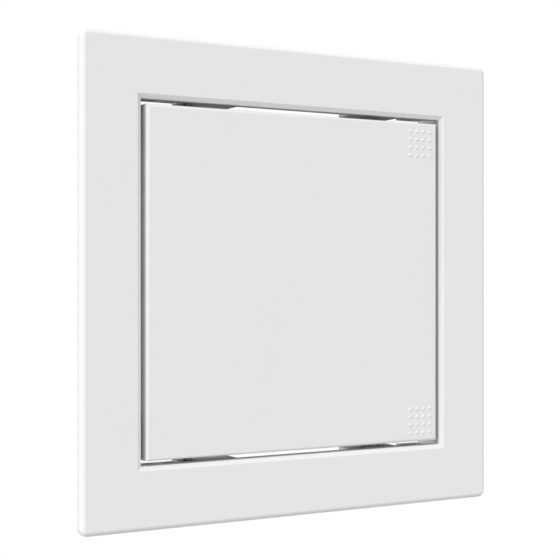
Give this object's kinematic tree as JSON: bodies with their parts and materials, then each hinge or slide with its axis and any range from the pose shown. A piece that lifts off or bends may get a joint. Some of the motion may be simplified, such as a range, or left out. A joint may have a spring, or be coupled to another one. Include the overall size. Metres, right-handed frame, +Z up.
{
  "type": "ceiling access panel",
  "caption": "Square flanged access panel for a ceiling or wall, with a flush hinged door that two sprung snap bolts hold shut beside its dotted corners.",
  "frame": {"origin": "middle of the hole in the board, in the plane of the board's face, where the back of the flange rests", "axes": "+Y into the board, -Y out of the front of the door, +X from the hinge side to the latch side, +Z up the hinge axis"},
  "size_m": [0.1674, 0.0279, 0.1674],
  "materials": {
    "white_plastic": "satin moulded",
    "grey_acetal": "satin moulded",
    "black_steel": "blackened",
    "spring_steel": "bright drawn wire",
    "pad_rubber": "matt"
  },
  "bodies": {
    "frame": {"frame": "white_plastic", "hinge_pin_top": "black_steel", "hinge_pin_bottom": "black_steel", "stop_pad_top": "pad_rubber", "stop_pad_bottom": "pad_rubber"},
    "door": {"door": "white_plastic", "latch_cover_top": "white_plastic", "latch_cover_bottom": "white_plastic", "latch_spring_top": "spring_steel", "latch_spring_bottom": "spring_steel"},
    "bolt_top": {"latch_bolt_top": "grey_acetal"},
    "bolt_bottom": {"latch_bolt_bottom": "grey_acetal"}
  },
  "joints": [
    {"name": "door_hinge", "type": "hinge", "parent": "frame", "child": "door", "pos_m": [-0.0415, 0.004, 0], "axis": [0, 0, -1], "range_deg": [0, 135]},
    {"name": "bolt_top_slide", "type": "slide", "parent": "door", "child": "bolt_top", "axis": [0, 0, -1], "range_m": [0, 0.0025], "stiffness_N_per_m": 150, "springref_m": -0.004, "deforming": ["latch_spring_top"]},
    {"name": "bolt_bottom_slide", "type": "slide", "parent": "door", "child": "bolt_bottom", "axis": [0, 0, 1], "range_m": [0, 0.0025], "stiffness_N_per_m": 150, "springref_m": -0.004, "deforming": ["latch_spring_bottom"]}
  ]
}
